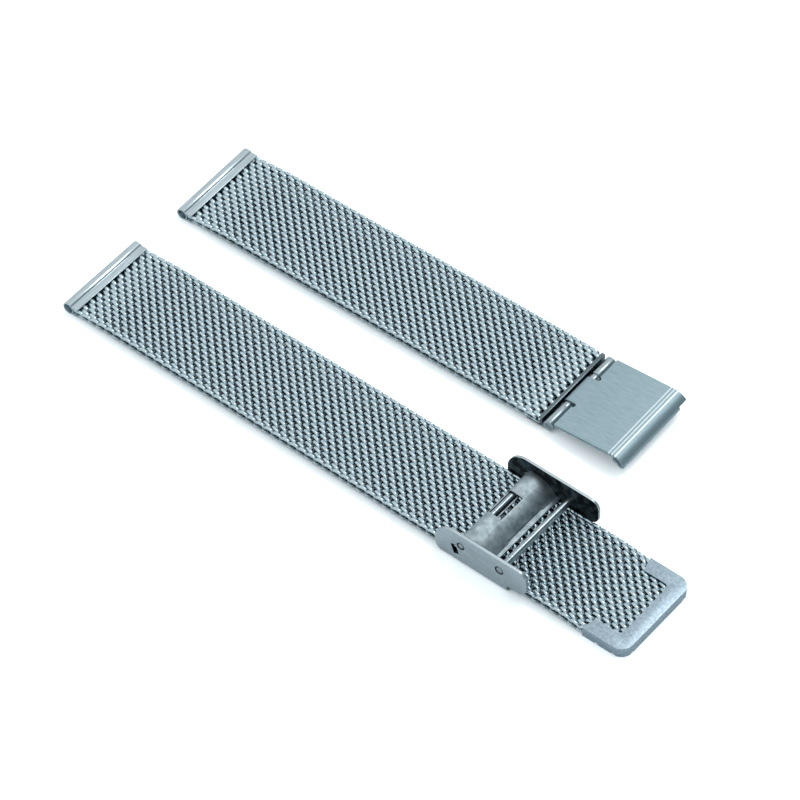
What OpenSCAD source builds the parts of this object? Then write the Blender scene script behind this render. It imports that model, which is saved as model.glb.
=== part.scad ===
// Woven steel mesh watch strap in two halves, with a sliding clasp and a hinged hook plate.
// Millimetres. The origin is the centre of the long half's lug tube. +X runs along the long
// half towards its tip, +Y runs across it, and +Z points out of the face seen when it is worn.
// The short half lies beside the long one, as the pair is laid out before it is fitted.

/* [Mesh] */
// Width of the mesh over its looped edges
band_w = 18; // [14:0.5:24]
// Thickness of the woven mesh
mesh_t = 1.75; // [1.3:0.05:2.4]
// Distance between neighbouring rows of the weave, along the band
row_pitch = 0.9; // [0.7:0.05:1.2]
// Distance between neighbouring turns of a spiral, across the band
turn_pitch = 1.8; // [1.4:0.1:2.4]
// Depth of the hollows between the turns
hollow_d = 0.5; // [0.2:0.05:0.6]
// Depth of the hollow between two edge loops
edge_notch_d = 0.22; // [0.1:0.02:0.3]
// Length over which the mesh is pressed thinner towards a lug tube or the hinge
press_len = 8; // [5:0.5:12]

/* [Halves] */
// Long half, from its lug tube's axis to the end of its tip cap
long_len = 116.45; // [95:1:140]
// Short half, from its lug tube's axis to its hinge pin's axis
short_len = 77.4; // [60:1:95]
// How far the short half's lug tube lies along the long half
short_x = 0.8; // [-5:0.1:5]
// How far the short half's lug tube lies beside the long half's
short_y = 28.1; // [27:0.1:45]
// Angle at which the short half lies to the long one, in degrees
short_yaw = 1.1; // [-3:0.1:5]

/* [Lug tubes] */
// Radius of the bore that takes a spring bar
lug_bore_r = 0.85; // [0.6:0.05:1]
// Wall of the rolled tube
lug_wall = 0.25; // [0.2:0.05:0.4]
// Length of the crimp flanges over the mesh, beyond the tube
flange_len = 0.9; // [0.6:0.1:2]
// Thickness of the crimp flanges
flange_t = 0.25; // [0.15:0.05:0.35]
// Thickness to which the mesh is pressed in the crimp
mesh_end_t = 1.1; // [0.8:0.05:1.2]

/* [Tip cap] */
// Length of the cap along the band
cap_len = 8.3; // [6:0.1:12]
// Wall of the cap
cap_wall = 0.3; // [0.2:0.05:0.5]
// Thickness to which the mesh is pressed in the cap
cap_mesh_t = 1.5; // [1:0.05:1.7]
// Width of the cap's two arms, seen from above
cap_arm_w = 2.7; // [1.5:0.05:4]
// Width of the cap across the end, seen from above
cap_end_w = 2.7; // [2:0.1:4.5]
// Radius of the cap's outer corners
cap_corner_r = 2.2; // [1:0.1:3]
// Radius of the corners inside the U
cap_inner_r = 0.9; // [0.4:0.1:1.5]
// How far the ends of the arms slant back
cap_slant = 0.6; // [0:0.1:1.2]
// Length over which the band bends down to the cap, which lies as low as the lug tube
tip_drop_len = 4.1; // [3:0.1:4.5]
// Length of the pressed mesh in front of the cap
cap_lead = 0.5; // [0.3:0.1:1]
// Radius of the relief notches in the cap's lower rim
cap_notch_r = 0.45; // [0.2:0.05:0.6]

/* [Sliding clasp] */
// Middle of the clasp's ears, measured from the lug tube's axis
clasp_x = 88.2; // [60:0.1:92]
// Length of the ears
ear_len = 18.4; // [16:0.1:22]
// Height of the ears over the underside of the floor
ear_h = 6.9; // [6.4:0.1:8]
// Thickness of the sheet that the clasp is bent from
clasp_t = 0.55; // [0.4:0.05:0.7]
// Outer radius of the bends between floor and ears
bend_r = 0.8; // [0.75:0.05:1.2]
// Clearance between the mesh and the clasp's floor
slide_clr = 0.1; // [0.05:0.01:0.2]
// Clearance between the mesh and each ear
side_clr = 0.15; // [0.05:0.01:0.3]
// Corner radius at the upper back of the ears
ear_back_r = 3.8; // [2:0.1:3.9]
// Corner radius at the lower back of the ears
ear_heel_r = 2.4; // [1:0.1:2.4]
// Corner radius at the upper front of the ears
ear_front_r = 1.8; // [1:0.1:2]
// Corner radius at the lower front of the ears
ear_toe_r = 1.9; // [1:0.1:2]
// Distance from the middle of the ears to the floor's front edge
floor_front = 5.3; // [4.5:0.1:6]
// Distance from the middle of the ears to the floor's back edge
floor_back = 6.4; // [5.6:0.1:6.8]
// Height of the step where the ears run on past the floor
toe_step = 1.6; // [1:0.1:2.2]
// Height of both pins over the underside of the floor
pin_h = 4.35; // [4.1:0.05:4.8]
// Radius of the pin that the cover turns on
pivot_r = 0.55; // [0.45:0.05:0.65]
// Distance of the pivot pin behind the middle of the ears
pivot_back = 4.05; // [3.8:0.05:4.3]
// Radius of the fixed crossbar that the hook plate catches on
bar_r = 0.65; // [0.5:0.05:0.75]
// Distance of the crossbar in front of the middle of the ears
bar_front = 3.75; // [3.7:0.05:4.4]
// Length of the detent slot in each ear
slot_len = 2.1; // [0.8:0.1:2.4]
// Width of the detent slot in each ear
slot_w = 1.1; // [0.4:0.1:1.3]
// Angle at which the detent slot leans back, in degrees
slot_lean = 20; // [0:1:30]
// Distance of the detent slot behind the middle of the ears
slot_back = 5.2; // [5.1:0.1:5.6]
// Height of the detent slot over the underside of the floor
slot_h = 2.85; // [2.4:0.05:3]
// Chamfer on the riveted ends of the pins
rivet_chamfer = 0.1; // [0.05:0.05:0.2]

/* [Locking cover] */
// Thickness of the cover's sheet
cover_t = 0.4; // [0.3:0.02:0.6]
// Running clearance between the rolled end and its pin
cover_clr = 0.04; // [0.02:0.01:0.08]
// Gap between the cover and the far ear, against which it has slid
cover_far_gap = 0.05; // [0.05:0.05:0.4]
// Gap between the cover and the near ear
cover_near_gap = 0.85; // [0.1:0.05:1]
// Outer radius of the cover's curve
cover_r = 6.2; // [5.8:0.1:6.4]
// How far the window and the step lie off the cover's middle, towards the far ear
cut_shift = 0.6; // [0:0.1:1]
// Width of the window in the rolled end
window_w = 5.7; // [3:0.1:9]
// How far the window reaches in front of the pivot pin
window_front = 2.05; // [1.6:0.05:3]
// Length of the turned-out lip
lip_len = 0.6; // [0.4:0.05:0.9]
// Thickness of the turned-out lip
lip_t = 0.4; // [0.25:0.05:0.5]
// Width of the step that is pressed in above the lip
step_w = 9; // [4:0.5:14]
// Depth of the step that is pressed in above the lip
step_d = 0.3; // [0.05:0.05:0.35]
// Gap between the lip and the top of the mesh
lip_clr = 0.06; // [0.03:0.01:0.12]

/* [Hinge] */
// Radius of the hinge pin
hinge_pin_r = 0.55; // [0.4:0.05:0.6]
// How far each end of the hinge pin lies inside its knuckle
hinge_pin_inset = 0.1; // [0:0.05:0.4]
// Thickness of the band-end fitting's sheet
fitting_t = 0.45; // [0.35:0.01:0.48]
// Radial clearance of the knuckles on the pin
knuckle_clr = 0.01; // [0.01:0.01:0.03]
// Length of each outer knuckle
knuckle_len = 4.4; // [3:0.1:5]
// Length of each bush beside the tongue
bush_len = 1.2; // [0.6:0.1:1.6]
// Outer radius of the bushes
bush_r = 0.9; // [0.8:0.01:0.96]
// End play between the pieces on the hinge pin
end_play = 0.05; // [0.03:0.01:0.1]
// Gap between the mesh's end wall and the knuckles
hinge_gap = 0.32; // [0.25:0.01:0.5]
// Length of the fitting's strip under the mesh, behind its end wall
strip_len = 2.8; // [2:0.1:5]
// Length of the fitting's flange over the mesh
top_flange_len = 0.45; // [0.3:0.05:1]
// Thickness to which the mesh is pressed in the hinge fitting
hinge_mesh_t = 1.2; // [0.9:0.05:1.4]

/* [Hook plate] */
// Width of the hook plate
plate_w = 17.6; // [13:0.1:23.6]
// Thickness of the hook plate's sheet
plate_t = 0.55; // [0.4:0.01:0.6]
// Running clearance between the rolled tongue and the hinge pin
tongue_clr = 0.04; // [0.02:0.01:0.08]
// Gap between the knuckles and the plate's back edge
plate_clr = 0.2; // [0.15:0.01:0.4]
// Length of the plate's flat part, from the hinge pin's axis to the start of the nose
plate_flat = 12.9; // [10:0.1:18]
// Outer radius of the curved nose
nose_r = 2.75; // [2.4:0.05:4]
// Angle through which the nose curves down, in degrees
nose_angle = 55; // [50:1:70]
// Width of the slit inside the folded hem
hem_slit = 0.3; // [0.12:0.02:0.34]
// Length of the hem that is folded back under the nose
hem_len = 1.45; // [0.6:0.05:1.5]
// How far the folded hem stops short of the plate's far side
hem_short = 2; // [0:0.1:4]
// Radius of the relief notches beside the tongue
relief_r = 0.45; // [0.3:0.05:0.5]
// Distance of the first groove behind the start of the nose
groove_back = 0.68; // [0.5:0.02:2]
// Distance from each groove to the next
groove_pitch = 0.63; // [0.4:0.01:0.8]
// Width of each groove
groove_w = 0.22; // [0.08:0.02:0.3]
// Depth of each groove
groove_d = 0.08; // [0.03:0.01:0.12]
// Angle at which the plate lies above the short half's mesh, in degrees
plate_lift = 4.5; // [0:0.5:8]

/* [Hidden] */
$fn = 64;

// Reach of a cut past the surface that it opens
cut = 1;
// Colours of the finishes
steel = "#a9b8be";
bright_steel = "#c9d4d9";
dark_steel = "#8d9ca3";

// Levels along Z, from the lug tube's axis
tube_r = lug_bore_r + lug_wall;
ground_z = -tube_r;
mesh_z0 = ground_z + clasp_t + slide_clr;
mesh_z1 = mesh_z0 + mesh_t;
mesh_mid = (mesh_z0 + mesh_z1) / 2;

// Lug tube
flange_end = tube_r + flange_len;
crimp_half = mesh_end_t / 2;

// Tip cap
cap_x0 = long_len - cap_len;
cap_w = band_w;
cap_h = cap_mesh_t + 2 * cap_wall;
cap_mid = ground_z + cap_h / 2;
long_mesh_end = long_len - cap_wall;
// Depth of the hollows in the cap, where the mesh is pressed thinner
cap_hollow_d = hollow_d * cap_mesh_t / mesh_t;

// Sliding clasp
ear_in = band_w / 2 + side_clr;
ear_out = ear_in + clasp_t;
ear_x0 = clasp_x - ear_len / 2;
ear_x1 = clasp_x + ear_len / 2;
pivot_x = clasp_x - pivot_back;
bar_x = clasp_x + bar_front;
pin_z = ground_z + pin_h;

// Locking cover
cover_roll_in = pivot_r + cover_clr;
cover_roll_r = cover_roll_in + cover_t;
cover_w = 2 * ear_in - cover_far_gap - cover_near_gap;
cover_y = (cover_near_gap - cover_far_gap) / 2;
lip_z = mesh_z1 + lip_clr;
cover_curve_z = pin_z + cover_roll_r - cover_r;
lip_x = pivot_x + sqrt(pow(cover_r, 2) - pow(lip_z + lip_t - cover_curve_z, 2));

// Hinge, in the short half's own frame
hinge_z = mesh_mid;
knuckle_in = hinge_pin_r + knuckle_clr;
knuckle_r = knuckle_in + fitting_t;
tongue_in = hinge_pin_r + tongue_clr;
tongue_r = tongue_in + plate_t;
tongue_w = plate_w - 2 * (knuckle_len + bush_len) - 4 * end_play;
end_wall_x = short_len - knuckle_r - hinge_gap;
short_mesh_end = end_wall_x - flange_t;
hinge_mesh_z0 = hinge_z - knuckle_r + fitting_t;
hinge_mesh_z1 = hinge_mesh_z0 + hinge_mesh_t;
// Top of the mesh where the strip under it starts, on the slope of its pressed end
strip_mesh_z1 = hinge_mesh_z1
    + (mesh_z1 - hinge_mesh_z1) * (strip_len - top_flange_len) / (press_len - top_flange_len);
bush_y = tongue_w / 2 + end_play;

// Hook plate, around its own hinge axis
plate_x0 = knuckle_r + plate_clr;
nose_z = tongue_r - nose_r;
hem_out_r = nose_r - plate_t - hem_slit;
hem_in_r = hem_out_r - plate_t;
hem_angle = hem_len / (hem_in_r + plate_t / 2) * 180 / PI;
fold_r = plate_t + hem_slit / 2;

// Sets an outline in X and Z, drawn as x and y, across the band
module across(w) {
    translate([0, w / 2, 0])
        rotate([90, 0, 0])
            linear_extrude(height = w) children();
}

// Places a piece of the short half
module on_short_half() {
    translate([short_x, short_y, 0])
        rotate([0, 0, short_yaw]) children();
}

// Ring outline
module ring(r_out, r_in) {
    difference() {
        circle(r = r_out);
        circle(r = r_in);
    }
}

// Part of a ring, from angle a0 to angle a1, both measured from straight up towards +X
module ring_sector(r_out, r_in, a0, a1) {
    intersection() {
        ring(r_out, r_in);
        polygon([[0, 0], for (a = [a0, (a0 + a1) / 2, a1]) 2 * r_out * [sin(a), cos(a)]]);
    }
}

// Rectangle from p to q whose corners at the high x end are rounded
module end_rounded(p, q, r) {
    translate(p) square([q.x - p.x - r, q.y - p.y]);
    translate([q.x - r, p.y + r]) square([r, q.y - p.y - 2 * r]);
    translate([q.x - r, p.y + r]) circle(r = r);
    translate([q.x - r, q.y - r]) circle(r = r);
}

// Rolled tube with two flanges that clamp the end of the mesh
module lug_tube() {
    across(band_w) {
        ring(tube_r, lug_bore_r);
        difference() {
            translate([0, -crimp_half - flange_t]) square([flange_end, mesh_end_t + 2 * flange_t]);
            translate([tube_r, -crimp_half]) square([flange_len + cut, mesh_end_t]);
            circle(r = lug_bore_r);
        }
    }
}

// Rows of the weave, from the crimped end to the pressed end that tail gives. Each one holds x,
// the height of the underside, the height of the top and the depth of the hollows. The stations
// are such rows too, and whole rows are spaced evenly between them.
function woven_rows(tail) =
    let (stations = concat([[tube_r, -crimp_half, crimp_half, 0], [flange_end, -crimp_half, crimp_half, 0],
        [tube_r + press_len, mesh_z0, mesh_z1, hollow_d]], tail))
    concat([stations[0]], [
        for (k = [1:len(stations) - 1])
            let (a = stations[k - 1], b = stations[k], steps = max(1, round((b.x - a.x) / row_pitch)))
                for (i = [1:steps]) a + (b - a) * i / steps]);

// Half the width of row i: every second row stands back at the edge, between two edge loops
function half_width(rows, i) = band_w / 2 - i % 2 * edge_notch_d * rows[i][3] / hollow_d;

// Points of the top, one line across the band for each row. Every second point is a crown,
// where two turns meet, and the others are hollows.
function top_points(rows, columns) = [
    for (i = [0:len(rows) - 1], j = [0:columns])
        let (edge = j == 0 ? -1 : j == columns ? 1 : 0)
        [rows[i].x, edge == 0 ? band_w * (j / columns - 0.5) : edge * half_width(rows, i),
            rows[i][2] - (i + j) % 2 * rows[i][3]]];

// Points of the underside, near and far, first of each row's rib and then of the valley that
// follows it
function rib_points(rows) = [for (i = [0:len(rows) - 1], side = [-1, 1])
    [rows[i].x, side * half_width(rows, i), rows[i][1]]];
function valley_points(rows) = [for (i = [0:len(rows) - 2], side = [-1, 1])
    let (middle = (rows[i] + rows[i + 1]) / 2, half = (half_width(rows, i) + half_width(rows, i + 1)) / 2)
        [middle.x, side * half, middle[1] + middle[3]]];

// The two triangles between four neighbouring points a, b, c and d, joined crown to crown
function crown_pair(a, b, c, d, a_is_crown) =
    a_is_crown ? [[a, d, c], [a, c, b]] : [[a, d, b], [b, d, c]];

// Band of woven wire from its crimped end to the pressed end that tail gives. Its two ends are
// pressed flat.
module woven_band(tail) {
    rows = woven_rows(tail);
    last = len(rows) - 1;
    columns = 2 * round(band_w / turn_pitch);
    line = columns + 1;
    rib = line * (last + 1);
    valley = rib + 2 * (last + 1);
    top_faces = [for (i = [0:last - 1], j = [0:columns - 1])
        let (a = i * line + j)
            each crown_pair(a, a + line, a + line + 1, a + 1, (i + j) % 2 == 0)];
    under_faces = [for (i = [0:last - 1])
        let (r = rib + 2 * i, v = valley + 2 * i)
            each [[r, v, v + 1, r + 1], [v, r + 2, r + 3, v + 1]]];
    near_wall = [for (i = [0:last - 1])
        let (a = i * line, r = rib + 2 * i)
            [valley + 2 * i, r, a, a + line, r + 2]];
    far_wall = [for (i = [0:last - 1])
        let (a = i * line + columns, r = rib + 2 * i + 1)
            [valley + 2 * i + 1, r + 2, a + line, a, r]];
    first_wall = concat([rib, rib + 1], [for (j = [columns:-1:0]) j]);
    last_wall = concat([rib + 2 * last + 1, rib + 2 * last], [for (j = [0:columns]) last * line + j]);
    polyhedron(
        points = concat(top_points(rows, columns), rib_points(rows), valley_points(rows)),
        faces = concat(top_faces, under_faces, near_wall, far_wall, [first_wall, last_wall]));
}

// Plan of the mesh's tip, which fills the cap
module tip_plan() {
    translate([0, -band_w / 2]) square([cap_x0, band_w]);
    end_rounded([cap_x0 - cut, -cap_w / 2 + cap_wall], [long_mesh_end, cap_w / 2 - cap_wall],
        cap_corner_r - cap_wall);
}

module long_lug_tube() {
    color(bright_steel) lug_tube();
}

module long_mesh() {
    color(steel) intersection() {
        woven_band([
            [cap_x0 - tip_drop_len, mesh_z0, mesh_z1, hollow_d],
            [cap_x0 - cap_lead, cap_mid - cap_mesh_t / 2, cap_mid + cap_mesh_t / 2, cap_hollow_d],
            [long_len - cap_end_w, cap_mid - cap_mesh_t / 2, cap_mid + cap_mesh_t / 2, cap_hollow_d],
            [long_mesh_end, cap_mid - cap_mesh_t / 2, cap_mid + cap_mesh_t / 2, 0]]);
        translate([0, 0, ground_z - cut])
            linear_extrude(height = mesh_t + 2 * tube_r + 2 * cut) tip_plan();
    }
}

// Opening of the cap's flanges, which leaves a U seen from above
module cap_opening() {
    end_rounded([cap_x0 - cut, -cap_w / 2 + cap_arm_w], [long_len - cap_end_w, cap_w / 2 - cap_arm_w],
        cap_inner_r);
}

// Cut for a notch, which reaches past the cap's wall into its hollow
module cap_notch() {
    cylinder(r = cap_notch_r, h = 2 * (cap_wall + cap_notch_r), center = true);
}

module tip_cap() {
    color(bright_steel) translate([0, 0, ground_z]) difference() {
        linear_extrude(height = cap_h)
            end_rounded([cap_x0, -cap_w / 2], [long_len, cap_w / 2], cap_corner_r);
        translate([0, 0, cap_wall])
            linear_extrude(height = cap_mesh_t)
                end_rounded([cap_x0 - cut, -cap_w / 2 + cap_wall],
                    [long_len - cap_wall, cap_w / 2 - cap_wall], cap_corner_r - cap_wall);
        translate([0, 0, -cut])
            linear_extrude(height = cap_h + 2 * cut) cap_opening();
        // The arms' ends slant back towards the middle of the band
        for (side = [-1, 1])
            translate([0, 0, -cut])
                linear_extrude(height = cap_h + 2 * cut)
                    polygon([[cap_x0 - cut, side * (cap_w / 2 + cut)], [cap_x0, side * (cap_w / 2)],
                        [cap_x0 + cap_slant, side * (cap_w / 2 - cap_arm_w)],
                        [cap_x0 - cut, side * (cap_w / 2 - cap_arm_w - cut)]]);
        // Relief notches in the lower rim, in each arm and where the round corners end
        for (x = [cap_x0 + cap_len / 3, long_len - cap_corner_r], side = [-1, 1])
            translate([x, side * cap_w / 2, 0])
                rotate([90, 0, 0]) cap_notch();
        for (side = [-1, 1])
            translate([long_len, side * (cap_w / 2 - cap_corner_r), 0])
                rotate([0, 90, 0]) cap_notch();
    }
}

// Side view of an ear. Each round corner is a circle on the points where its sides end.
module ear_outline() {
    x0 = ear_x0;
    x1 = ear_x1;
    z0 = ground_z;
    z1 = ground_z + ear_h;
    zt = ground_z + toe_step;
    xf = clasp_x + floor_front;
    polygon([[x0 + ear_heel_r, z0], [xf, z0], [xf, zt], [x1 - ear_toe_r, zt], [x1, zt + ear_toe_r],
        [x1, z1 - ear_front_r], [x1 - ear_front_r, z1], [x0 + ear_back_r, z1],
        [x0, z1 - ear_back_r], [x0, z0 + ear_heel_r]]);
    translate([x0 + ear_heel_r, z0 + ear_heel_r]) circle(r = ear_heel_r);
    translate([x1 - ear_toe_r, zt + ear_toe_r]) circle(r = ear_toe_r);
    translate([x1 - ear_front_r, z1 - ear_front_r]) circle(r = ear_front_r);
    translate([x0 + ear_back_r, z1 - ear_back_r]) circle(r = ear_back_r);
}

// Cross-section of the bent sheet, drawn with the height along x
module channel_section() {
    difference() {
        mirror([1, 0]) end_rounded([-ground_z - ear_h - cut, -ear_out], [-ground_z, ear_out], bend_r);
        mirror([1, 0]) end_rounded([-ground_z - ear_h - 2 * cut, -ear_in],
            [-ground_z - clasp_t, ear_in], bend_r - clasp_t);
    }
}

module clasp_body() {
    color(steel) difference() {
        intersection() {
            across(2 * ear_out) ear_outline();
            translate([ear_x0 - cut, 0, 0])
                rotate([0, -90, 0])
                    mirror([0, 0, 1])
                        linear_extrude(height = ear_len + 2 * cut) channel_section();
        }
        // The floor ends short of the ears' rounded backs
        translate([ear_x0 - cut, -ear_in, ground_z - cut])
            cube([clasp_x - floor_back - ear_x0 + cut, 2 * ear_in, ear_h + 2 * cut]);
        translate([pivot_x, 0, pin_z])
            rotate([90, 0, 0]) cylinder(r = pivot_r, h = 2 * ear_out + 2 * cut, center = true);
        translate([bar_x, 0, pin_z])
            rotate([90, 0, 0]) cylinder(r = bar_r, h = 2 * ear_out + 2 * cut, center = true);
        translate([clasp_x - slot_back, 0, ground_z + slot_h])
            rotate([0, -slot_lean, 0]) cube([slot_w, 2 * ear_out + 2 * cut, slot_len], center = true);
    }
}

// Pin across the clasp, riveted flush with the ears
module clasp_pin(x, r) {
    translate([x, 0, pin_z])
        rotate([90, 0, 0])
            rotate_extrude()
                polygon([[0, -ear_out], [r - rivet_chamfer, -ear_out], [r, rivet_chamfer - ear_out],
                    [r, ear_out - rivet_chamfer], [r - rivet_chamfer, ear_out], [0, ear_out]]);
}

module cover_pivot_pin() {
    color(bright_steel) clasp_pin(pivot_x, pivot_r);
}

module crossbar() {
    color(bright_steel) clasp_pin(bar_x, bar_r);
}

// The cover is one sheet: rolled round its pin, curved down to the mesh and turned out in a lip
module locking_cover() {
    color(dark_steel) translate([0, cover_y, 0]) difference() {
        across(cover_w) {
            translate([pivot_x, pin_z]) ring(cover_roll_r, cover_roll_in);
            difference() {
                intersection() {
                    translate([pivot_x, cover_curve_z]) ring(cover_r, cover_r - cover_t);
                    translate([pivot_x, lip_z]) square([cover_r + cut, cover_r]);
                }
                translate([pivot_x, pin_z]) circle(r = cover_roll_in);
            }
            translate([lip_x - cover_t, lip_z]) square([cover_t + lip_len, lip_t]);
        }
        translate([pivot_x - cover_roll_r - cut, cut_shift - window_w / 2, pin_z])
            cube([cover_roll_r + cut + window_front, window_w, cover_roll_r + cut]);
        translate([lip_x - step_d, cut_shift - step_w / 2, lip_z + lip_t])
            cube([step_d + cut, step_w, cover_r]);
    }
}

module short_lug_tube() {
    color(bright_steel) on_short_half() lug_tube();
}

module short_mesh() {
    color(steel) on_short_half()
        woven_band([
            [short_mesh_end - press_len, mesh_z0, mesh_z1, hollow_d],
            [short_mesh_end - strip_len, hinge_mesh_z0, strip_mesh_z1, 0],
            [short_mesh_end - top_flange_len, hinge_mesh_z0, hinge_mesh_z1, 0],
            [short_mesh_end, hinge_mesh_z0, hinge_mesh_z1, 0]]);
}

// Side view of the strip that holds the mesh's end: under it, up its end and over its edge
module fitting_strip() {
    translate([short_mesh_end - strip_len, hinge_mesh_z0 - fitting_t])
        square([short_len - short_mesh_end + strip_len, fitting_t]);
    translate([short_mesh_end, hinge_mesh_z0 - fitting_t])
        square([flange_t, fitting_t + hinge_mesh_t + flange_t]);
    translate([short_mesh_end - top_flange_len, hinge_mesh_z1])
        square([top_flange_len + flange_t, flange_t]);
}

module hinge_fitting() {
    color(steel) on_short_half() difference() {
        union() {
            across(plate_w) fitting_strip();
            for (side = [-1, 1])
                translate([short_len, side * (plate_w - knuckle_len) / 2, hinge_z])
                    rotate([90, 0, 0]) cylinder(r = knuckle_r, h = knuckle_len, center = true);
        }
        translate([short_len, 0, hinge_z])
            rotate([90, 0, 0]) cylinder(r = knuckle_in, h = plate_w + cut, center = true);
        // The strip is cut away under the tongue and the bushes
        translate([end_wall_x + hinge_gap / 4, knuckle_len - plate_w / 2, hinge_z - knuckle_r - cut])
            cube([2 * knuckle_r + cut, plate_w - 2 * knuckle_len, 2 * knuckle_r + cut]);
    }
}

module hinge_pin() {
    color(bright_steel) on_short_half()
        translate([short_len, 0, hinge_z])
            rotate([90, 0, 0])
                cylinder(r = hinge_pin_r, h = plate_w - 2 * hinge_pin_inset, center = true);
}

// Bush on the hinge pin, between the tongue and a knuckle
module hinge_bush(side) {
    color(bright_steel) on_short_half()
        translate([short_len, side * (bush_y + bush_len / 2), hinge_z])
            rotate([90, 0, 0]) difference() {
                cylinder(r = bush_r, h = bush_len, center = true);
                cylinder(r = hinge_pin_r + knuckle_clr, h = bush_len + cut, center = true);
            }
}

module near_hinge_bush() {
    hinge_bush(-1);
}

module far_hinge_bush() {
    hinge_bush(1);
}

// Side view of the plate's sheet, from its flat part to the end of the curved nose. The
// grooves are set out by their distance s along the sheet, past the start of the nose.
module plate_section(x0) {
    difference() {
        union() {
            translate([x0, tongue_r - plate_t]) square([plate_flat - x0, plate_t]);
            translate([plate_flat, nose_z]) ring_sector(nose_r, nose_r - plate_t, 0, nose_angle);
        }
        for (i = [0:2])
            let (s = i * groove_pitch - groove_back)
                translate([plate_flat + min(s, 0), nose_z])
                    rotate(-max(s, 0) / nose_r * 180 / PI)
                        translate([-groove_w / 2, nose_r - groove_d])
                            square([groove_w, groove_d + cut]);
    }
}

// Side view of the hem that is folded back under the nose
module hem_section() {
    translate([plate_flat, nose_z]) {
        ring_sector(hem_out_r, hem_in_r, nose_angle - hem_angle, nose_angle);
        rotate(-nose_angle)
            translate([0, nose_r - fold_r])
                intersection() {
                    ring(fold_r, hem_slit / 2);
                    translate([-hem_slit / 4, -fold_r]) square([2 * fold_r, 2 * fold_r]);
                }
    }
}

module hook_plate() {
    color(dark_steel) on_short_half()
        translate([short_len, 0, hinge_z]) rotate([0, -plate_lift, 0]) difference() {
            union() {
                across(plate_w) plate_section(plate_x0);
                translate([0, -hem_short / 2, 0]) across(plate_w - hem_short) hem_section();
                across(tongue_w) {
                    ring(tongue_r, tongue_in);
                    difference() {
                        translate([0, tongue_r - plate_t]) square([plate_x0 + cut, plate_t]);
                        circle(r = tongue_in);
                    }
                }
            }
            for (side = [-1, 1])
                translate([plate_x0, side * (tongue_w / 2 + relief_r), tongue_r - plate_t - cut])
                    cylinder(r = relief_r, h = plate_t + 2 * cut);
        }
}

long_lug_tube();
long_mesh();
tip_cap();
clasp_body();
cover_pivot_pin();
crossbar();
locking_cover();
short_lug_tube();
short_mesh();
hinge_fitting();
hinge_pin();
near_hinge_bush();
far_hinge_bush();
hook_plate();
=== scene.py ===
import math

import bpy
import numpy as np
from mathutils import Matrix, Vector


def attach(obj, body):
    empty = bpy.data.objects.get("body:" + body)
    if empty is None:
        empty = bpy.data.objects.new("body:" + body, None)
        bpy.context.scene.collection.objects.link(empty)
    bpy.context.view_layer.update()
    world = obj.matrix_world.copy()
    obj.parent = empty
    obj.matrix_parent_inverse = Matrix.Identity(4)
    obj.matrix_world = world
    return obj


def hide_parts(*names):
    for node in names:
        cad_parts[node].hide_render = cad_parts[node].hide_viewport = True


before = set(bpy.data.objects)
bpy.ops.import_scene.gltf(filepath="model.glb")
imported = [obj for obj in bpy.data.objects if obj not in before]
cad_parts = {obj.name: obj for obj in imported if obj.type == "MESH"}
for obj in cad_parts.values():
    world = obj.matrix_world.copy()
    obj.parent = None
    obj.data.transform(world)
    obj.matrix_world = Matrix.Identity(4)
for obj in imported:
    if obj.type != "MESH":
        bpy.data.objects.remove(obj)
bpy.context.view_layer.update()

# Lug tubes. Each half ends in a tube of thin stainless sheet, rolled round the spring bar and
# crimped over the mesh. Polished sheet shows one long white highlight and dark flanks.
MM = 0.001
TUBE_EDGE = 0.06 * MM
# Corners nearer than this are one corner, and faces that turn by less than this are one face
SAME_CORNER = 0.002 * MM
SAME_FACE = math.radians(0.5)
# Edges that turn by more than this are broken, and smaller turns than the next are shaded smooth
BROKEN_FROM = math.radians(35)
SMOOTH_UP_TO = math.radians(32)


def from_hex(colour):
    """Linear colour of an sRGB hex value."""
    channels = [int(colour[i:i + 2], 16) / 255 for i in (1, 3, 5)]
    return [c / 12.92 if c <= 0.04045 else ((c + 0.055) / 1.055) ** 2.4 for c in channels] + [1]


def add_node(material, kind, values=None, links=None, **settings):
    """Adds a node, with the values and the links of its sockets."""
    made = material.node_tree.nodes.new(kind)
    for name, value in settings.items():
        setattr(made, name, value)
    for socket, value in (values or {}).items():
        made.inputs[socket].default_value = value
    for socket, source in (links or {}).items():
        material.node_tree.links.new(source, made.inputs[socket])
    return made


def new_metal(name, roughness):
    """A bare metal with its shader, whose colour is set or linked later."""
    material = bpy.data.materials.new(name)
    material.use_nodes = True
    shader = material.node_tree.nodes["Principled BSDF"]
    shader.inputs["Metallic"].default_value = 1.0
    shader.inputs["Roughness"].default_value = roughness
    return material, shader


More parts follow.
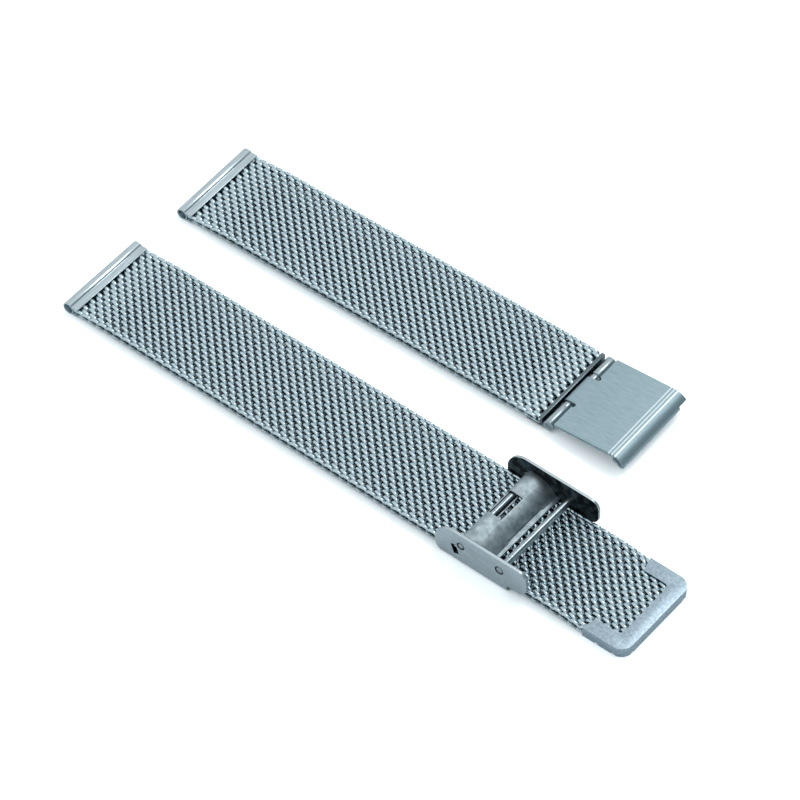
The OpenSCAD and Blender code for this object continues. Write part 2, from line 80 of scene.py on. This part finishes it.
def broken_edges(node, name, body, material, width, segments=2, rim=None):
    """A merged copy of a CAD solid with its sharp edges broken, which stands for the node.

    The width is a limit. The bevel's overlap clamp holds it back to almost nothing on the cap,
    the clasp, the cover and the plate, whose faces would cross without it.
    """
    bpy.ops.object.select_all(action="DESELECT")
    piece = bpy.data.objects.new(name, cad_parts[node].data.copy())
    piece.data.materials.clear()
    piece.data.materials.append(material)
    piece.data.materials.append(rim or material)
    bpy.context.scene.collection.objects.link(piece)
    bpy.context.view_layer.objects.active = piece
    piece.select_set(True)
    bpy.ops.object.mode_set(mode="EDIT")
    bpy.ops.mesh.select_all(action="SELECT")
    bpy.ops.mesh.customdata_custom_splitnormals_clear()
    bpy.ops.mesh.remove_doubles(threshold=SAME_CORNER)
    bpy.ops.mesh.dissolve_limited(angle_limit=SAME_FACE)
    bpy.ops.object.mode_set(mode="OBJECT")
    bevel = piece.modifiers.new("broken_edges", "BEVEL")
    bevel.limit_method = "ANGLE"
    bevel.angle_limit = BROKEN_FROM
    bevel.width = width
    bevel.segments = segments
    bevel.miter_outer = "MITER_ARC"
    bevel.material = 1
    bpy.ops.object.modifier_apply(modifier=bevel.name)
    # The rounding never stands out past the solid's own box
    sheet = np.array([corner.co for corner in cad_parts[node].data.vertices])
    rounded = np.array([corner.co for corner in piece.data.vertices])
    boxed = np.clip(rounded, sheet.min(axis=0), sheet.max(axis=0))
    piece.data.vertices.foreach_set("co", boxed.ravel())
    bpy.ops.object.shade_smooth_by_angle(angle=SMOOTH_UP_TO)
    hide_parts(node)
    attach(piece, body)


polished_steel, shader = new_metal("polished_sheet_steel", 0.24)
place = add_node(polished_steel, "ShaderNodeTexCoord")
# Faint drawing lines along the tube, about 0.17 mm apart
stretch = add_node(polished_steel, "ShaderNodeMapping", {"Scale": (6000, 300, 6000)},
                   {"Vector": place.outputs["Object"]})
lines = add_node(polished_steel, "ShaderNodeTexNoise", {"Scale": 1.0, "Detail": 3.0},
                 {"Vector": stretch.outputs["Vector"]})
tone = add_node(polished_steel, "ShaderNodeValToRGB", links={"Fac": lines.outputs["Fac"]})
for stop, position, colour in zip(tone.color_ramp.elements, (0.3, 0.7), ("#a3b3ba", "#c0ced4")):
    stop.position, stop.color = position, from_hex(colour)
polished_steel.node_tree.links.new(tone.outputs["Color"], shader.inputs["Base Color"])
grain = add_node(polished_steel, "ShaderNodeBump", {"Strength": 0.12, "Distance": 0.02 * MM},
                 {"Height": lines.outputs["Fac"]})
polished_steel.node_tree.links.new(grain.outputs["Normal"], shader.inputs["Normal"])

broken_edges("long_lug_tube", "long_tube", "strap", polished_steel, TUBE_EDGE)
broken_edges("short_lug_tube", "short_tube", "strap", polished_steel, TUBE_EDGE)

# Woven bands. Every row is one stainless wire of 0.55 mm, wound into a flattened spiral and
# threaded through the row before it, half a turn further on. The band is rolled flat, its edges
# are closed and brazed, and its ends are pressed thinner where the fittings grip them.
WIRE_R = 0.275 * MM
# What a curve's bevel_resolution of 1 gives
WIRE_SIDES = 6
SPIRAL_HALF_W = 0.725 * MM
SPIRAL_HALF_H = 0.6 * MM
# How far half a turn goes along the row, in mm
HALF_TURN = 0.9
TURN_PITCH = 2 * HALF_TURN * MM
TURNS = 10.5
BAND_HALF = 9 * MM
EDGE_FROM = 8.3 * MM
MESH_Z0 = -0.45 * MM
MESH_Z1 = 1.30 * MM
# A quarter turn of the flattened spiral, whose runs over and under the band are long and nearly
# straight: shares of its half width and half height, and mm along the row
QUARTER_TURN = [(1.0, 0.0, 0.0), (0.97, 0.52, 0.17), (0.78, 0.93, 0.31)]
# Rolling spreads every wire by about a fifth, and pressing spreads it further where it grips
ROLLED_SPREAD = 1.22
PRESSED_SPREAD = 0.9
# How much painted light the closed edge and the pressed ends get beside a crown, which is 1
EDGE_CROWN = 0.34
PRESSED_CROWN = 0.4


def wound_row():
    """One flattened spiral round the Y axis, closed into a loop at each edge of the band."""
    fall = [(-x, z, HALF_TURN - y) for x, z, y in QUARTER_TURN[:0:-1]]
    rise = QUARTER_TURN + [(0.0, 1.0, HALF_TURN / 2)] + fall
    turn = rise + [(-x, -z, HALF_TURN + y) for x, z, y in rise]
    steps = round(TURNS * len(turn)) + 1
    end = BAND_HALF - WIRE_R
    bpy.ops.object.select_all(action="DESELECT")
    path = bpy.data.curves.new("wound_wire", "CURVE")
    path.dimensions = "3D"
    path.bevel_depth = WIRE_R
    path.bevel_resolution = 1
    path.use_fill_caps = True
    wire = path.splines.new("POLY")
    wire.points.add(steps - 1)
    for i, point in enumerate(wire.points):
        x, z, along = turn[i % len(turn)]
        y = (i // len(turn)) * TURN_PITCH + along * MM - TURNS * TURN_PITCH / 2
        point.co = (x * SPIRAL_HALF_W, max(-end, min(end, y)), z * SPIRAL_HALF_H, 1)
    row = bpy.data.objects.new("wound_row", path)
    bpy.context.scene.collection.objects.link(row)
    bpy.context.view_layer.objects.active = row
    row.select_set(True)
    bpy.ops.object.convert(target="MESH")
    return bpy.context.object


def woven_band(name, node, first_x, row_pitch, pairs, stations, to_place=None):
    """Rows side by side, then pressed. A station is x, lowest z, highest z and half width."""
    band = wound_row()
    band.name = name
    bpy.ops.object.mode_set(mode="EDIT")
    bpy.ops.mesh.select_all(action="SELECT")
    bpy.ops.mesh.duplicate()
    bpy.ops.transform.rotate(value=math.pi, orient_axis="Y", center_override=(0, 0, 0))
    bpy.ops.transform.translate(value=(row_pitch, 0, 0))
    bpy.ops.object.mode_set(mode="OBJECT")
    rows = band.modifiers.new("rows", "ARRAY")
    rows.use_relative_offset = False
    rows.use_constant_offset = True
    rows.constant_offset_displace = (2 * row_pitch, 0, 0)
    rows.count = pairs
    bpy.ops.object.modifier_apply(modifier=rows.name)
    points = np.empty(len(band.data.vertices) * 3)
    band.data.vertices.foreach_get("co", points)
    points = points.reshape(-1, 3)
    free_half = np.abs(points[:, 2]).max()
    points[:, 0] += first_x
    table = np.array(stations)
    low, high, half = (np.interp(points[:, 0], table[:, 0], table[:, i]) for i in (1, 2, 3))
    rings = points.reshape(-1, WIRE_SIDES, 3)
    centres = np.repeat(rings.mean(axis=1), WIRE_SIDES, axis=0)
    pressed = 1 - (high - low) / (2 * free_half)
    spread = (ROLLED_SPREAD + PRESSED_SPREAD * pressed)[:, None]
    points[:, :2] = centres[:, :2] + (points[:, :2] - centres[:, :2]) * spread
    # How far each point stands out, over and under the band and, less bright, at its two edges;
    # this sets the painted light and shade
    edge = EDGE_CROWN * (np.abs(points[:, 1]) - EDGE_FROM) / (BAND_HALF - EDGE_FROM)
    stands_out = np.abs(points[:, 2]) / free_half + PRESSED_CROWN * pressed
    crown = band.data.attributes.new("crown", "FLOAT", "POINT")
    crown.data.foreach_set("value", np.maximum(stands_out, edge))
    points[:, 2] = (low + high) / 2 + points[:, 2] / free_half * (high - low) / 2
    points[:, 1] = np.clip(points[:, 1] * half / BAND_HALF, -half, half)
    if to_place is not None:
        points = to_place(points)
    band.data.vertices.foreach_set("co", points.ravel())
    band.data.update()
    bpy.ops.object.shade_smooth()
    band.data.materials.append(wire_steel)
    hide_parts(node)
    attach(band, "strap")


wire_steel, shader = new_metal("rolled_wire_steel", 0.25)
# Painted light and shade: the wire is painted bright where it stands out and near black in the
# hollows
height = add_node(wire_steel, "ShaderNodeAttribute", attribute_name="crown")
tone = add_node(wire_steel, "ShaderNodeValToRGB", links={"Fac": height.outputs["Fac"]})
for stop, position, colour in zip(tone.color_ramp.elements, (0.24, 0.50), ("#0a1418", "#bacdd5")):
    stop.position, stop.color = position, from_hex(colour)
wire_steel.node_tree.links.new(tone.outputs["Color"], shader.inputs["Base Color"])

# The lug tube's flange grips both bands from LUG_END to FLANGE_END
LUG_END = 1.1 * MM
FLANGE_END = 2.0 * MM
CRIMP = 0.55 * MM
FREE_FROM = 9.1 * MM
FIRST_ROW = 2.1 * MM
# The long band dips into the cap and follows its rounded corners
LONG_ROW_PITCH = 0.9 * MM
LONG_ROW_PAIRS = 63
DIP_FROM = 104.05 * MM
CAP_START = 108.15 * MM
CAP_LEAD = 0.5 * MM
CAP_MESH = (-0.80 * MM, 0.70 * MM)
IN_CAP_HALF = 8.65 * MM
CAP_CORNER = 114.2 * MM
CAP_END = 115.6 * MM
CAP_END_HALF = 7.4 * MM
woven_band("long_band", "long_mesh", FIRST_ROW, LONG_ROW_PITCH, LONG_ROW_PAIRS, [
    (LUG_END, -CRIMP, CRIMP, BAND_HALF),
    (FLANGE_END, -CRIMP, CRIMP, BAND_HALF),
    (FREE_FROM, MESH_Z0, MESH_Z1, BAND_HALF),
    (DIP_FROM, MESH_Z0, MESH_Z1, BAND_HALF),
    (CAP_START - CAP_LEAD, *CAP_MESH, BAND_HALF),
    (CAP_START, *CAP_MESH, IN_CAP_HALF),
    (CAP_CORNER, *CAP_MESH, IN_CAP_HALF),
    (CAP_END, *CAP_MESH, CAP_END_HALF)])

# The short half lies beside the long one, turned a little
YAW = math.radians(1.1)
SHORT_START = Vector((0.8 * MM, 28.1 * MM, 0))


def beside(points):
    """Places points of the short half beside the long one."""
    turned = points.copy()
    turned[:, 0] = points[:, 0] * math.cos(YAW) - points[:, 1] * math.sin(YAW) + SHORT_START.x
    turned[:, 1] = points[:, 0] * math.sin(YAW) + points[:, 1] * math.cos(YAW) + SHORT_START.y
    return turned


# The short band rises on to the hinge's strip, which grips it up to MESH_END
SHORT_ROW_PITCH = 0.897 * MM
SHORT_ROW_PAIRS = 41
RISE_FROM = 67.82 * MM
STRIP_FROM = 73.02 * MM
MESH_END = 75.37 * MM
ON_STRIP = -0.135 * MM
STRIP_TOP = 1.146 * MM
MESH_END_TOP = 1.065 * MM
woven_band("short_band", "short_mesh", FIRST_ROW, SHORT_ROW_PITCH, SHORT_ROW_PAIRS, [
    (LUG_END, -CRIMP, CRIMP, BAND_HALF),
    (FLANGE_END, -CRIMP, CRIMP, BAND_HALF),
    (FREE_FROM, MESH_Z0, MESH_Z1, BAND_HALF),
    (RISE_FROM, MESH_Z0, MESH_Z1, BAND_HALF),
    (STRIP_FROM, ON_STRIP, STRIP_TOP, BAND_HALF),
    (MESH_END, ON_STRIP, MESH_END_TOP, BAND_HALF)], beside)

# Tip cap. A U of stainless sheet, pressed over the end of the mesh and its two edges. Its top is
# lightly tumbled, which leaves a cloudy satin.
CAP_RIM = 0.13 * MM
# Painted highlight: the broken edges get a brighter copy of the steel, which draws a thin light
# line round a sheet. The clamp leaves the line about 0.02 mm wide on the cap and no width on the
# plate.
edge_highlight_steel, shader = new_metal("painted_edge_highlight_steel", 0.25)
shader.inputs["Base Color"].default_value = from_hex("#dce8ed")
cap_steel, shader = new_metal("tumbled_sheet_steel", 0.38)
place = add_node(cap_steel, "ShaderNodeTexCoord")
# Clouds of about 0.5 mm from tumbling
clouds = add_node(cap_steel, "ShaderNodeTexNoise",
                  {"Scale": 1900.0, "Detail": 5.0, "Roughness": 0.65},
                  {"Vector": place.outputs["Object"]})
tone = add_node(cap_steel, "ShaderNodeValToRGB", links={"Fac": clouds.outputs["Fac"]})
for stop, position, colour in zip(tone.color_ramp.elements, (0.35, 0.68), ("#8a9eab", "#adbfcb")):
    stop.position, stop.color = position, from_hex(colour)
cap_steel.node_tree.links.new(tone.outputs["Color"], shader.inputs["Base Color"])
dents = add_node(cap_steel, "ShaderNodeBump", {"Strength": 0.25, "Distance": 0.05 * MM},
                 {"Height": clouds.outputs["Fac"]})
cap_steel.node_tree.links.new(dents.outputs["Normal"], shader.inputs["Normal"])
broken_edges("tip_cap", "cap", "strap", cap_steel, CAP_RIM, 3, edge_highlight_steel)

# Clasp body. A channel of 0.55 mm stainless sheet, stamped with its slots and bent up into two
# ears, then blasted to an even matt grey.
CLASP_EDGE = 0.2 * MM
EAR_INSIDE = 9.15 * MM
EAR_OUTSIDE = 9.70 * MM
# The painted shade of the inside and of the slot walls stops this near to an ear's two faces
FACE_SKIN = 0.06 * MM
PIVOT_X = 84.15 * MM
BAR_X = 91.95 * MM
PIN_Z = 3.25 * MM
PIVOT_R = 0.55 * MM
BAR_R = 0.65 * MM
SLOT_X = 83.0 * MM
SLOT_Z = 1.75 * MM
SLOT_REACH = 1.4 * MM
# The painted shadow line round a riveted pin: how far out its middle lies, and how far it reaches
# from there
RIVET_LINE = 0.1 * MM
RIVET_REACH = 0.12 * MM


def reach_from(material, source, x, z):
    """Distance from a line that runs straight across the strap through x and z."""
    offset = add_node(material, "ShaderNodeVectorMath", {1: (x, 0, z)},
                      {0: source.outputs["Object"]}, operation="SUBTRACT")
    level = add_node(material, "ShaderNodeVectorMath", {1: (1, 0, 1)}, {0: offset.outputs[0]},
                     operation="MULTIPLY")
    length = add_node(material, "ShaderNodeVectorMath", links={0: level.outputs[0]},
                      operation="LENGTH")
    return length.outputs["Value"]


clasp_steel, shader = new_metal("blasted_sheet_steel", 0.42)
place = add_node(clasp_steel, "ShaderNodeTexCoord")
# Blasting grit of about 0.1 mm, drawn twice as coarse so that it shows
grit = add_node(clasp_steel, "ShaderNodeTexNoise",
                {"Scale": 4500.0, "Detail": 4.0, "Roughness": 0.7},
                {"Vector": place.outputs["Object"]})
tone = add_node(clasp_steel, "ShaderNodeValToRGB", links={"Fac": grit.outputs["Fac"]})
for stop, position, colour in zip(tone.color_ramp.elements, (0.3, 0.7), ("#a2b0b7", "#bfccd3")):
    stop.position, stop.color = position, from_hex(colour)
# Painted shade: the inside of the channel and the walls of the slot are painted near black, in
# blotches of about 1.3 mm, and a painted shadow line runs round each pin.
blotches = add_node(clasp_steel, "ShaderNodeTexNoise", {"Scale": 800.0, "Detail": 4.0},
                    {"Vector": place.outputs["Object"]})
shade_tone = add_node(clasp_steel, "ShaderNodeValToRGB", links={"Fac": blotches.outputs["Fac"]})
for stop, position, colour in zip(shade_tone.color_ramp.elements, (0.4, 0.65), ("#10181b", "#56646a")):
    stop.position, stop.color = position, from_hex(colour)
axes = add_node(clasp_steel, "ShaderNodeSeparateXYZ", links={0: place.outputs["Object"]})
across = add_node(clasp_steel, "ShaderNodeMath", links={0: axes.outputs["Y"]},
                  operation="ABSOLUTE")
dark = add_node(clasp_steel, "ShaderNodeMath", {1: EAR_INSIDE + FACE_SKIN},
                {0: across.outputs[0]}, operation="LESS_THAN")
walls = add_node(clasp_steel, "ShaderNodeMath", {1: EAR_OUTSIDE - FACE_SKIN},
                 {0: across.outputs[0]}, operation="LESS_THAN")
for x, z, radius, kind in ((SLOT_X, SLOT_Z, SLOT_REACH, "slot"), (PIVOT_X, PIN_Z, PIVOT_R, "pin"),
                           (BAR_X, PIN_Z, BAR_R, "pin")):
    reach = reach_from(clasp_steel, place, x, z)
    if kind == "slot":
        near = add_node(clasp_steel, "ShaderNodeMath", {1: radius}, {0: reach},
                        operation="LESS_THAN")
        near = add_node(clasp_steel, "ShaderNodeMath",
                        links={0: near.outputs[0], 1: walls.outputs[0]}, operation="MULTIPLY")
    else:
        near = add_node(clasp_steel, "ShaderNodeMath", {1: radius + RIVET_LINE, 2: RIVET_REACH},
                        {0: reach}, operation="COMPARE")
    dark = add_node(clasp_steel, "ShaderNodeMath", links={0: dark.outputs[0], 1: near.outputs[0]},
                    operation="MAXIMUM")
sheet = add_node(clasp_steel, "ShaderNodeMix", data_type="RGBA")
clasp_steel.node_tree.links.new(dark.outputs[0], sheet.inputs["Factor"])
clasp_steel.node_tree.links.new(tone.outputs["Color"], sheet.inputs["A"])
clasp_steel.node_tree.links.new(shade_tone.outputs["Color"], sheet.inputs["B"])
clasp_steel.node_tree.links.new(sheet.outputs["Result"], shader.inputs["Base Color"])
pits = add_node(clasp_steel, "ShaderNodeBump", {"Strength": 0.2, "Distance": 0.02 * MM},
                {"Height": grit.outputs["Fac"]})
clasp_steel.node_tree.links.new(pits.outputs["Normal"], shader.inputs["Normal"])
broken_edges("clasp_body", "clasp", "clasp", clasp_steel, CLASP_EDGE, 3)

# Pivot pin and crossbar. Two plain turned rods across the clasp, riveted flush in its ears.
# Turned and polished rod shows a narrow highlight along its length.
ROD_EDGE = 0.04 * MM
rod_steel, shader = new_metal("turned_rod_steel", 0.28)
place = add_node(rod_steel, "ShaderNodeTexCoord")
# Turning marks 0.2 mm apart
stretch = add_node(rod_steel, "ShaderNodeMapping", {"Scale": (400, 5000, 400)},
                   {"Vector": place.outputs["Object"]})
rings = add_node(rod_steel, "ShaderNodeTexNoise", {"Scale": 1.0, "Detail": 2.0},
                 {"Vector": stretch.outputs["Vector"]})
tone = add_node(rod_steel, "ShaderNodeValToRGB", links={"Fac": rings.outputs["Fac"]})
for stop, position, colour in zip(tone.color_ramp.elements, (0.3, 0.7), ("#8b999f", "#a8b5bb")):
    stop.position, stop.color = position, from_hex(colour)
rod_steel.node_tree.links.new(tone.outputs["Color"], shader.inputs["Base Color"])
broken_edges("cover_pivot_pin", "pivot_pin", "clasp", rod_steel, ROD_EDGE)
broken_edges("crossbar", "bar", "clasp", rod_steel, ROD_EDGE)

# Locking cover. One stainless sheet, rolled round the pivot pin and curved down to a turned-out
# lip. It is satin with a cloudy, handled look.
COVER_EDGE = 0.07 * MM
COVER_CURVE_Z = -1.96 * MM
COVER_MIDDLE_R = 6.0 * MM
ROLL_MIDDLE_R = 0.79 * MM
ROLL_R = 1.0 * MM
ROLL_MARGIN = 0.05 * MM
cover_steel, shader = new_metal("handled_sheet_steel", 0.5)
place = add_node(cover_steel, "ShaderNodeTexCoord")
# Handling clouds of about 1.5 mm
clouds = add_node(cover_steel, "ShaderNodeTexNoise",
                  {"Scale": 650.0, "Detail": 6.0, "Roughness": 0.62},
                  {"Vector": place.outputs["Object"]})
tone = add_node(cover_steel, "ShaderNodeValToRGB", links={"Fac": clouds.outputs["Fac"]})
for stop, position, colour in zip(tone.color_ramp.elements, (0.3, 0.7), ("#74838a", "#b3c1c7")):
    stop.position, stop.color = position, from_hex(colour)
# Painted shade: the hollow side of the sheet, in the roll and under the curve, is painted near
# black
from_roll = reach_from(cover_steel, place, PIVOT_X, PIN_Z)
from_curve = reach_from(cover_steel, place, PIVOT_X, COVER_CURVE_Z)
in_roll = add_node(cover_steel, "ShaderNodeMath", {1: ROLL_MIDDLE_R}, {0: from_roll},
                   operation="LESS_THAN")
past_roll = add_node(cover_steel, "ShaderNodeMath", {1: ROLL_R + ROLL_MARGIN}, {0: from_roll},
                     operation="GREATER_THAN")
under = add_node(cover_steel, "ShaderNodeMath", {1: COVER_MIDDLE_R}, {0: from_curve},
                 operation="LESS_THAN")
under = add_node(cover_steel, "ShaderNodeMath",
                 links={0: under.outputs[0], 1: past_roll.outputs[0]}, operation="MULTIPLY")
hollow = add_node(cover_steel, "ShaderNodeMath",
                  links={0: in_roll.outputs[0], 1: under.outputs[0]}, operation="MAXIMUM")
sheet = add_node(cover_steel, "ShaderNodeMix", data_type="RGBA")
cover_steel.node_tree.links.new(hollow.outputs[0], sheet.inputs["Factor"])
cover_steel.node_tree.links.new(tone.outputs["Color"], sheet.inputs["A"])
sheet.inputs["B"].default_value = from_hex("#141c1f")
cover_steel.node_tree.links.new(sheet.outputs["Result"], shader.inputs["Base Color"])
marks = add_node(cover_steel, "ShaderNodeBump", {"Strength": 0.2, "Distance": 0.04 * MM},
                 {"Height": clouds.outputs["Fac"]})
cover_steel.node_tree.links.new(marks.outputs["Normal"], shader.inputs["Normal"])
broken_edges("locking_cover", "cover", "cover", cover_steel, COVER_EDGE)

# Hinge. A strip of sheet grips the end of the short mesh and is rolled into two knuckles, with a
# pin through them and a turned bush on each side of the plate's tongue. The knuckles are
# polished, and the strip beside the mesh is coloured a darker grey.
HINGE_EDGE = 0.06 * MM
BUSH_EDGE = 0.05 * MM
STRIP_END = 76.25 * MM
SHORT_AXIS = (math.cos(YAW), math.sin(YAW), 0)
AXIS_START = SHORT_START.dot(Vector(SHORT_AXIS))
hinge_steel, shader = new_metal("rolled_hinge_steel", 0.28)
place = add_node(hinge_steel, "ShaderNodeTexCoord")
# Drawing lines of the rolled sheet, about 0.17 mm apart
stretch = add_node(hinge_steel, "ShaderNodeMapping", {"Scale": (6000, 300, 6000)},
                   {"Vector": place.outputs["Object"]})
lines = add_node(hinge_steel, "ShaderNodeTexNoise", {"Scale": 1.0, "Detail": 3.0},
                 {"Vector": stretch.outputs["Vector"]})
tone = add_node(hinge_steel, "ShaderNodeValToRGB", links={"Fac": lines.outputs["Fac"]})
for stop, position, colour in zip(tone.color_ramp.elements, (0.3, 0.7), ("#8c9ba2", "#aebdc3")):
    stop.position, stop.color = position, from_hex(colour)
along = add_node(hinge_steel, "ShaderNodeVectorMath", {1: SHORT_AXIS},
                 {0: place.outputs["Object"]}, operation="DOT_PRODUCT")
strip = add_node(hinge_steel, "ShaderNodeMath", {1: STRIP_END + AXIS_START},
                 {0: along.outputs["Value"]}, operation="LESS_THAN")
strip_tone = add_node(hinge_steel, "ShaderNodeMix", data_type="RGBA")
hinge_steel.node_tree.links.new(strip.outputs[0], strip_tone.inputs["Factor"])
hinge_steel.node_tree.links.new(tone.outputs["Color"], strip_tone.inputs["A"])
strip_tone.inputs["B"].default_value = from_hex("#66747a")
hinge_steel.node_tree.links.new(strip_tone.outputs["Result"], shader.inputs["Base Color"])
broken_edges("hinge_fitting", "hinge_knuckles", "strap", hinge_steel, HINGE_EDGE)
broken_edges("hinge_pin", "knuckle_pin", "strap", rod_steel, ROD_EDGE)
broken_edges("near_hinge_bush", "near_bush", "strap", rod_steel, BUSH_EDGE)
broken_edges("far_hinge_bush", "far_bush", "strap", rod_steel, BUSH_EDGE)

# Hook plate. A sheet of 0.55 mm whose tongue is rolled round the hinge pin, with three grooves, a
# curved nose and a hem folded under it. It is brushed along its length with fine paper.
PLATE_EDGE = 0.05 * MM
plate_steel, shader = new_metal("brushed_sheet_steel", 0.5)
place = add_node(plate_steel, "ShaderNodeTexCoord")
# Brush lines of 0.1 mm, drawn twice as coarse so that they show
stretch = add_node(plate_steel, "ShaderNodeMapping",
                   {"Rotation": (0, 0, -YAW), "Scale": (250, 5000, 5000)},
                   {"Vector": place.outputs["Object"]})
lines = add_node(plate_steel, "ShaderNodeTexNoise",
                 {"Scale": 1.0, "Detail": 4.0, "Roughness": 0.6},
                 {"Vector": stretch.outputs["Vector"]})
tone = add_node(plate_steel, "ShaderNodeValToRGB", links={"Fac": lines.outputs["Fac"]})
for stop, position, colour in zip(tone.color_ramp.elements, (0.3, 0.7), ("#8aa0a9", "#9cb2ba")):
    stop.position, stop.color = position, from_hex(colour)
# Painted highlight: the three grooves are painted bright, as glints along them. They are cut in
# the top face only, at these places along the short half.
GROOVES = (89.50 * MM, 90.12 * MM, 90.75 * MM)
GROOVE_REACH = 0.14 * MM
PLATE_TOP_FROM = 2.2 * MM
along = add_node(plate_steel, "ShaderNodeVectorMath", {1: SHORT_AXIS},
                 {0: place.outputs["Object"]}, operation="DOT_PRODUCT")
cuts = [add_node(plate_steel, "ShaderNodeMath", {1: groove + AXIS_START, 2: GROOVE_REACH},
                 {0: along.outputs["Value"]}, operation="COMPARE")
        for groove in GROOVES]
two = add_node(plate_steel, "ShaderNodeMath",
               links={0: cuts[0].outputs[0], 1: cuts[1].outputs[0]}, operation="MAXIMUM")
three = add_node(plate_steel, "ShaderNodeMath",
                 links={0: two.outputs[0], 1: cuts[2].outputs[0]}, operation="MAXIMUM")
axes = add_node(plate_steel, "ShaderNodeSeparateXYZ", links={0: place.outputs["Object"]})
top = add_node(plate_steel, "ShaderNodeMath", {1: PLATE_TOP_FROM}, {0: axes.outputs["Z"]},
               operation="GREATER_THAN")
groove_glints = add_node(plate_steel, "ShaderNodeMath", links={0: three.outputs[0], 1: top.outputs[0]},
                  operation="MULTIPLY")
sheet = add_node(plate_steel, "ShaderNodeMix", data_type="RGBA")
plate_steel.node_tree.links.new(groove_glints.outputs[0], sheet.inputs["Factor"])
plate_steel.node_tree.links.new(tone.outputs["Color"], sheet.inputs["A"])
sheet.inputs["B"].default_value = from_hex("#e2eff4")
plate_steel.node_tree.links.new(sheet.outputs["Result"], shader.inputs["Base Color"])
scratches = add_node(plate_steel, "ShaderNodeBump", {"Strength": 0.08, "Distance": 0.02 * MM},
                     {"Height": lines.outputs["Fac"]})
plate_steel.node_tree.links.new(scratches.outputs["Normal"], shader.inputs["Normal"])
broken_edges("hook_plate", "plate", "hook", plate_steel, PLATE_EDGE, 2,
             edge_highlight_steel)

# Floor. A white matt board. The camera sees it exposed to white, which leaves the shadows under
# the object and in the weave dark. The object is lit by the plain board.
FLOOR_Z = -1.1 * MM
BOARD_SIZE = 6
EXPOSURE = (1.7, 1.7, 1.7, 1)
bpy.ops.object.select_all(action="DESELECT")
bpy.ops.mesh.primitive_plane_add(size=BOARD_SIZE, location=(0.05, 0.01, FLOOR_Z))
floor = bpy.context.object
floor.name = "floor"
board = bpy.data.materials.new("white_board")
board.use_nodes = True
board.node_tree.nodes.clear()
matt = add_node(board, "ShaderNodeBsdfDiffuse", {"Color": from_hex("#f2f4f5")})
exposed = add_node(board, "ShaderNodeBsdfDiffuse", {"Color": EXPOSURE})
ray = add_node(board, "ShaderNodeLightPath")
both = add_node(board, "ShaderNodeMixShader",
                links={0: ray.outputs["Is Camera Ray"], 1: matt.outputs[0], 2: exposed.outputs[0]})
add_node(board, "ShaderNodeOutputMaterial", links={"Surface": both.outputs[0]})
floor.data.materials.append(board)

# Studio light. A white room with a dark wall far to the right, which gives polished metal its dark
# flanks, and one soft box above and behind the object.
DARK_WALL = (0.70, 0.45, 0.55)
world = bpy.data.worlds.new("studio")
bpy.context.scene.world = world
world.use_nodes = True
world.node_tree.nodes.clear()
ray = add_node(world, "ShaderNodeLightPath")
direction = add_node(world, "ShaderNodeTexCoord")
wall = add_node(world, "ShaderNodeVectorMath", {1: DARK_WALL},
                {0: direction.outputs["Generated"]}, operation="DOT_PRODUCT")
walls = add_node(world, "ShaderNodeValToRGB", links={"Fac": wall.outputs["Value"]})
for stop, position, colour in zip(walls.color_ramp.elements, (0.72, 0.92), ("#ffffff", "#6b7c82")):
    stop.position, stop.color = position, from_hex(colour)
room = add_node(world, "ShaderNodeBackground", {"Color": (0.90, 0.97, 1, 1), "Strength": 0.78})
mirrored = add_node(world, "ShaderNodeBackground", {"Strength": 1.0},
                    {"Color": walls.outputs["Color"]})
white = add_node(world, "ShaderNodeBackground", {"Color": (1, 1, 1, 1), "Strength": 1.0})
lit = add_node(world, "ShaderNodeMixShader",
               links={0: ray.outputs["Is Glossy Ray"], 1: room.outputs[0], 2: mirrored.outputs[0]})
mixed = add_node(world, "ShaderNodeMixShader",
                 links={0: ray.outputs["Is Camera Ray"], 1: lit.outputs[0], 2: white.outputs[0]})
add_node(world, "ShaderNodeOutputWorld", links={"Surface": mixed.outputs[0]})

SOFT_BOX_PLACE = (0.14, 0.46, 0.78)
SOFT_BOX_SIDE = 0.35
SOFT_BOX_WATTS = 1.6
LIT_POINT = Vector((0.05, 0.01, 0))
bpy.ops.object.light_add(type="AREA", location=SOFT_BOX_PLACE)
soft_box = bpy.context.object
soft_box.name = "soft_box"
soft_box.data.shape = "RECTANGLE"
soft_box.data.size = SOFT_BOX_SIDE
soft_box.data.size_y = SOFT_BOX_SIDE
soft_box.data.energy = SOFT_BOX_WATTS
towards = LIT_POINT - soft_box.location
soft_box.rotation_euler = towards.to_track_quat("-Z", "Y").to_euler()

# Camera. It stands at the photo's view of the pair.
AZIMUTH = math.radians(38.845)
ELEVATION = math.radians(49.776)
DISTANCE = 0.7904
AIM = Vector((55.166, 10.925, -1.1)) * MM
back = Vector((math.sin(AZIMUTH) * math.cos(ELEVATION), -math.cos(AZIMUTH) * math.cos(ELEVATION),
               math.sin(ELEVATION)))
bpy.ops.object.camera_add(location=AIM + back * DISTANCE)
camera = bpy.context.object
camera.name = "camera"
camera.rotation_euler = back.to_track_quat("Z", "Y").to_euler()
camera.data.sensor_width = 36
camera.data.lens = 216
camera.data.clip_start = 0.01
camera.data.clip_end = 20
bpy.context.scene.camera = camera
bpy.context.scene.view_settings.view_transform = "Standard"
